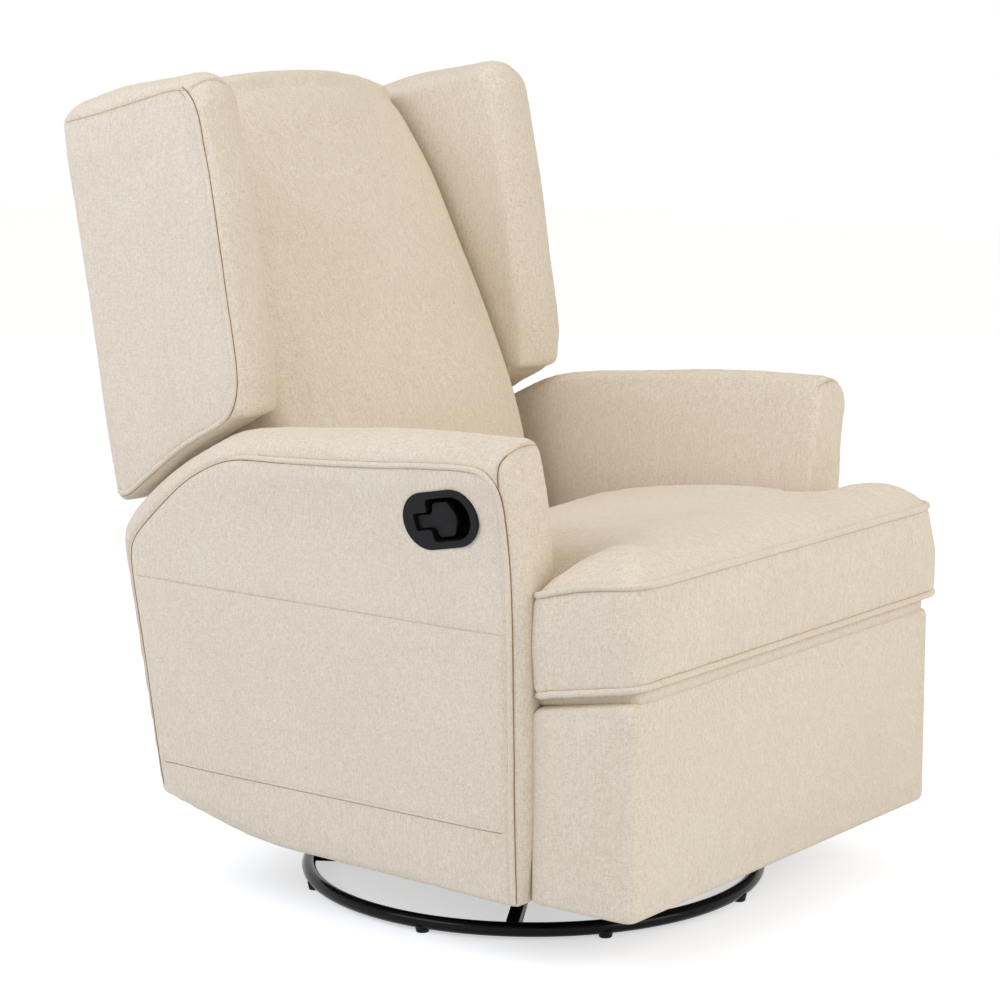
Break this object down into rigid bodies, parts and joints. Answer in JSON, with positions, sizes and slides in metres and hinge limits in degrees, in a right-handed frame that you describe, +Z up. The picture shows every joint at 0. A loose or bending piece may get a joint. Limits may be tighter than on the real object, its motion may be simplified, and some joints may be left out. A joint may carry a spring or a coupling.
{
  "type": "swivel glider recliner",
  "caption": "Upholstered wing-back swivel glider recliner with flared arms, a T-shaped seat cushion, folding footrest, side release lever and a round tube base.",
  "frame": {"origin": "centre of the bounding box, at floor level, with the chair closed and upright; the swivel axis is vertical through y = -0.052", "axes": "+Z up, -Y the way the sitter faces, +X to the left of the sitter; the release lever is on the -X side"},
  "size_m": [0.7674, 0.9133, 1.0317],
  "materials": {
    "upholstery": "cream linen-look weave with fine brown flecks, self piping",
    "under_cloth": "the same cloth under the seat's front edge",
    "deck_felt": "dark felt",
    "ring_enamel": "gloss black",
    "frame_enamel": "satin dark grey",
    "zinc_steel": "zinc plated",
    "plywood": "raw poplar plywood",
    "black_nylon": "fine texture"
  },
  "bodies": {
    "floor_base": {"base_ring": "ring_enamel", "base_spider": "ring_enamel", "floor_glide_1": "black_nylon", "floor_glide_2": "black_nylon", "floor_glide_3": "black_nylon", "floor_glide_4": "black_nylon", "floor_glide_5": "black_nylon", "floor_glide_6": "black_nylon", "floor_glide_7": "black_nylon", "floor_glide_8": "black_nylon", "bearing_lower_race": "zinc_steel"},
    "swivel_platform": {"bearing_upper_race": "zinc_steel", "swivel_frame": "frame_enamel"},
    "glide_link_master": {"glide_link_front_left": "zinc_steel"},
    "glide_link_front_right": {"glide_link_front_right": "zinc_steel"},
    "glide_link_rear_left": {"glide_link_rear_left": "zinc_steel"},
    "glide_link_rear_right": {"glide_link_rear_right": "zinc_steel"},
    "chair": {"glide_rail_right": "frame_enamel", "glide_rail_left": "frame_enamel", "tie_tube_front": "frame_enamel", "tie_tube_rear": "frame_enamel", "mechanism_plate_right": "frame_enamel", "mechanism_plate_left": "frame_enamel", "seat_side_rail_right": "plywood", "seat_side_rail_left": "plywood", "front_deck_board": "under_cloth", "seat_front_rail": "plywood", "seat_rear_rail": "plywood", "seat_spring_1": "zinc_steel", "seat_spring_2": "zinc_steel", "seat_spring_3": "zinc_steel", "seat_spring_4": "zinc_steel", "seat_deck_pad": "deck_felt", "seat_cushion": "upholstery", "arm_right": "upholstery", "arm_left": "upholstery", "side_pocket_right": "upholstery", "side_pocket_left": "upholstery", "lever_cup": "black_nylon", "release_cable": "black_nylon"},
    "footrest_drive": {"footrest_drive_bar_right": "zinc_steel", "footrest_drive_bar_left": "zinc_steel", "footrest_torque_tube": "frame_enamel"},
    "footrest_reach": {"footrest_reach_bar_right": "zinc_steel", "footrest_reach_bar_left": "zinc_steel"},
    "footrest_tray": {"footrest_pad": "upholstery", "footrest_board": "plywood", "footrest_bracket_right": "zinc_steel", "footrest_bracket_left": "zinc_steel"},
    "back": {"back_frame": "plywood", "back_bracket_right": "zinc_steel", "back_bracket_left": "zinc_steel", "outer_back": "upholstery", "back_cushion": "upholstery", "wing_right": "upholstery", "wing_left": "upholstery"},
    "release_lever": {"release_lever": "black_nylon"},
    "release_trip": {"release_trip": "zinc_steel"}
  },
  "joints": [
    {"name": "swivel", "type": "hinge", "parent": "floor_base", "child": "swivel_platform", "pos_m": [0, -0.052, 0.035], "axis": [0, 0, 1], "continuous": true},
    {"name": "glide", "type": "hinge", "parent": "swivel_platform", "child": "glide_link_master", "pos_m": [0.193, -0.162, 0.212], "axis": [1, 0, 0], "range_deg": [-26, 26]},
    {"name": "chair_hang", "type": "hinge", "parent": "glide_link_master", "child": "chair", "pos_m": [0.193, -0.162, 0.1], "axis": [1, 0, 0], "range_deg": [-26, 26]},
    {"name": "link_front_right", "type": "hinge", "parent": "swivel_platform", "child": "glide_link_front_right", "pos_m": [-0.193, -0.162, 0.212], "axis": [1, 0, 0], "range_deg": [-26, 26]},
    {"name": "link_rear_left", "type": "hinge", "parent": "swivel_platform", "child": "glide_link_rear_left", "pos_m": [0.193, 0.058, 0.212], "axis": [1, 0, 0], "range_deg": [-26, 26]},
    {"name": "link_rear_right", "type": "hinge", "parent": "swivel_platform", "child": "glide_link_rear_right", "pos_m": [-0.193, 0.058, 0.212], "axis": [1, 0, 0], "range_deg": [-26, 26]},
    {"name": "footrest", "type": "hinge", "parent": "chair", "child": "footrest_drive", "pos_m": [0, -0.242, 0.3], "axis": [-1, 0, 0], "range_deg": [0, 72]},
    {"name": "footrest_elbow", "type": "hinge", "parent": "footrest_drive", "child": "footrest_reach", "pos_m": [0, -0.31318, 0.12384], "axis": [-1, 0, 0], "range_deg": [-133.74, 0]},
    {"name": "footrest_tip", "type": "hinge", "parent": "footrest_reach", "child": "footrest_tray", "pos_m": [0, -0.37, 0.296], "axis": [-1, 0, 0], "range_deg": [0, 151.74]},
    {"name": "recline", "type": "hinge", "parent": "chair", "child": "back", "pos_m": [0, 0.21, 0.3], "axis": [-1, 0, 0], "range_deg": [0, 35]},
    {"name": "lever", "type": "hinge", "parent": "chair", "child": "release_lever", "pos_m": [-0.36165, -0.161, 0.53341], "axis": [0.1564, 0, -0.9877], "range_deg": [0, 30], "stiffness_Nm_per_rad": 0.6},
    {"name": "trip", "type": "hinge", "parent": "chair", "child": "release_trip", "pos_m": [-0.262, -0.222, 0.232], "axis": [-1, 0, 0], "range_deg": [0, 4.6]}
  ],
  "couplings": [
    {"joint": "chair_hang", "follows": "glide", "ratio": -1},
    {"joint": "link_front_right", "follows": "glide", "ratio": 1},
    {"joint": "link_rear_left", "follows": "glide", "ratio": 1},
    {"joint": "link_rear_right", "follows": "glide", "ratio": 1},
    {"joint": "footrest_elbow", "follows": "footrest", "ratio": -1.8574},
    {"joint": "footrest_tip", "follows": "footrest", "ratio": 2.1074},
    {"joint": "trip", "follows": "lever", "ratio": 0.15}
  ]
}
